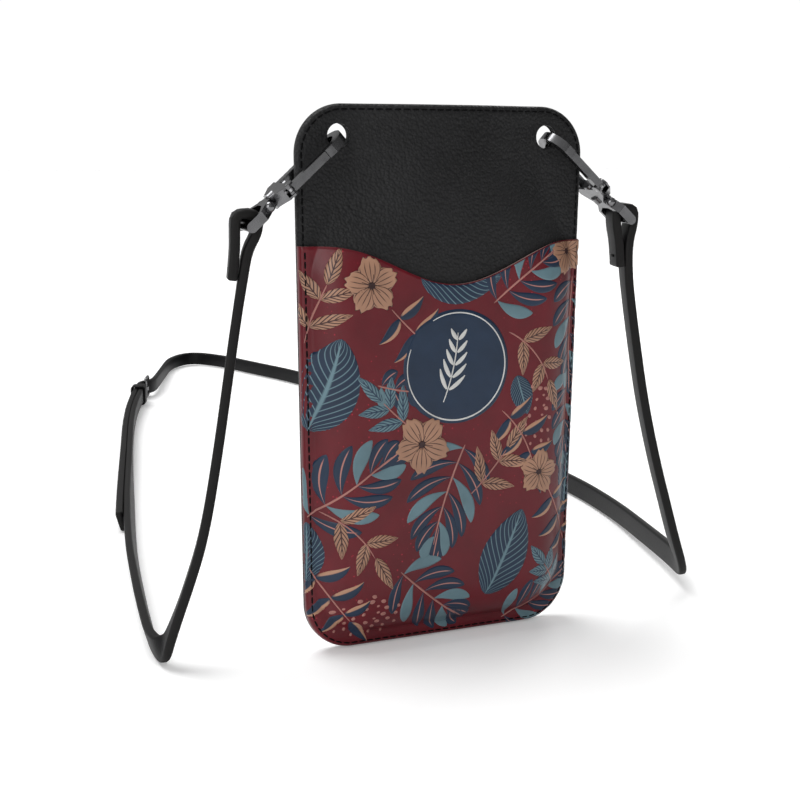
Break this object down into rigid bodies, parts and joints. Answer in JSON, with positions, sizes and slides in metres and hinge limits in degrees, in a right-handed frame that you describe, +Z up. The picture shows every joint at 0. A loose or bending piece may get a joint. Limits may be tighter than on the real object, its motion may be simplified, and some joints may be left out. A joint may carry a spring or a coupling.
{
  "type": "phone case",
  "caption": "Upright sewn leather crossbody phone sleeve with a domed wave-edged card pocket on the front, snap hooks in two top corner holes and a buckled flat shoulder strap.",
  "frame": {"origin": "middle of the case's bottom edge, halfway through its depth", "axes": "X across the case (width), +Y to the back of the case, +Z up; the printed front faces -Y"},
  "size_m": [0.2591, 0.6431, 0.1902],
  "materials": {
    "black_leather": "pebbled, soft sheen",
    "strap_leather": "smooth, matt",
    "printed_leather": "smooth printed leather, satin",
    "lining": "fine twill",
    "thread": "waxed thread",
    "gunmetal": "polished gunmetal plating",
    "steel": "plain"
  },
  "bodies": {
    "case": {"back_panel": "black_leather", "back_lining": "lining", "front_lining": "lining", "front_panel": "black_leather", "pocket_lining": "lining", "card_pocket": "printed_leather", "seam_needle_thread": "thread", "seam_bobbin_thread": "thread", "strap_short": "strap_leather", "strap_long": "strap_leather", "buckle_frame": "gunmetal", "left_swivel_eye": "gunmetal", "right_swivel_eye": "gunmetal", "left_loop_stitches": "thread", "right_loop_stitches": "thread"},
    "left_hook": {"left_hook_body": "gunmetal", "left_gate_pin": "steel"},
    "left_gate": {"left_hook_gate": "gunmetal", "left_gate_spring": "steel"},
    "right_hook": {"right_hook_body": "gunmetal", "right_gate_pin": "steel"},
    "right_gate": {"right_hook_gate": "gunmetal", "right_gate_spring": "steel"},
    "prong": {"buckle_prong": "gunmetal"},
    "keeper": {"keeper_loop": "strap_leather"}
  },
  "joints": [
    {"name": "left_hook_swivel", "type": "hinge", "parent": "case", "child": "left_hook", "pos_m": [-0.06125, 0.00345, 0.15999], "axis": [-0.7431, 0, -0.6691], "range_deg": [-8, 8]},
    {"name": "left_gate_hinge", "type": "hinge", "parent": "left_hook", "child": "left_gate", "pos_m": [-0.05902, -0.0026, 0.162], "axis": [-0.6691, 0, 0.7431], "range_deg": [0, 11], "stiffness_Nm_per_rad": 0.02, "springref_deg": -17.19, "deforming": ["left_gate_spring"]},
    {"name": "right_hook_swivel", "type": "hinge", "parent": "case", "child": "right_hook", "pos_m": [0.06125, 0.00345, 0.15999], "axis": [0.7431, 0, -0.6691], "range_deg": [-8, 8]},
    {"name": "right_gate_hinge", "type": "hinge", "parent": "right_hook", "child": "right_gate", "pos_m": [0.05902, -0.0026, 0.162], "axis": [-0.6691, 0, -0.7431], "range_deg": [0, 11], "stiffness_Nm_per_rad": 0.02, "springref_deg": -17.19, "deforming": ["right_gate_spring"]},
    {"name": "prong_hinge", "type": "hinge", "parent": "case", "child": "prong", "pos_m": [0.01487, 0.50333, 0.0073], "axis": [0, 0, 1], "range_deg": [0, 40]},
    {"name": "keeper_slide", "type": "slide", "parent": "case", "child": "keeper", "axis": [0.3584, 0.9336, 0], "range_m": [-0.008, 0.008]}
  ]
}
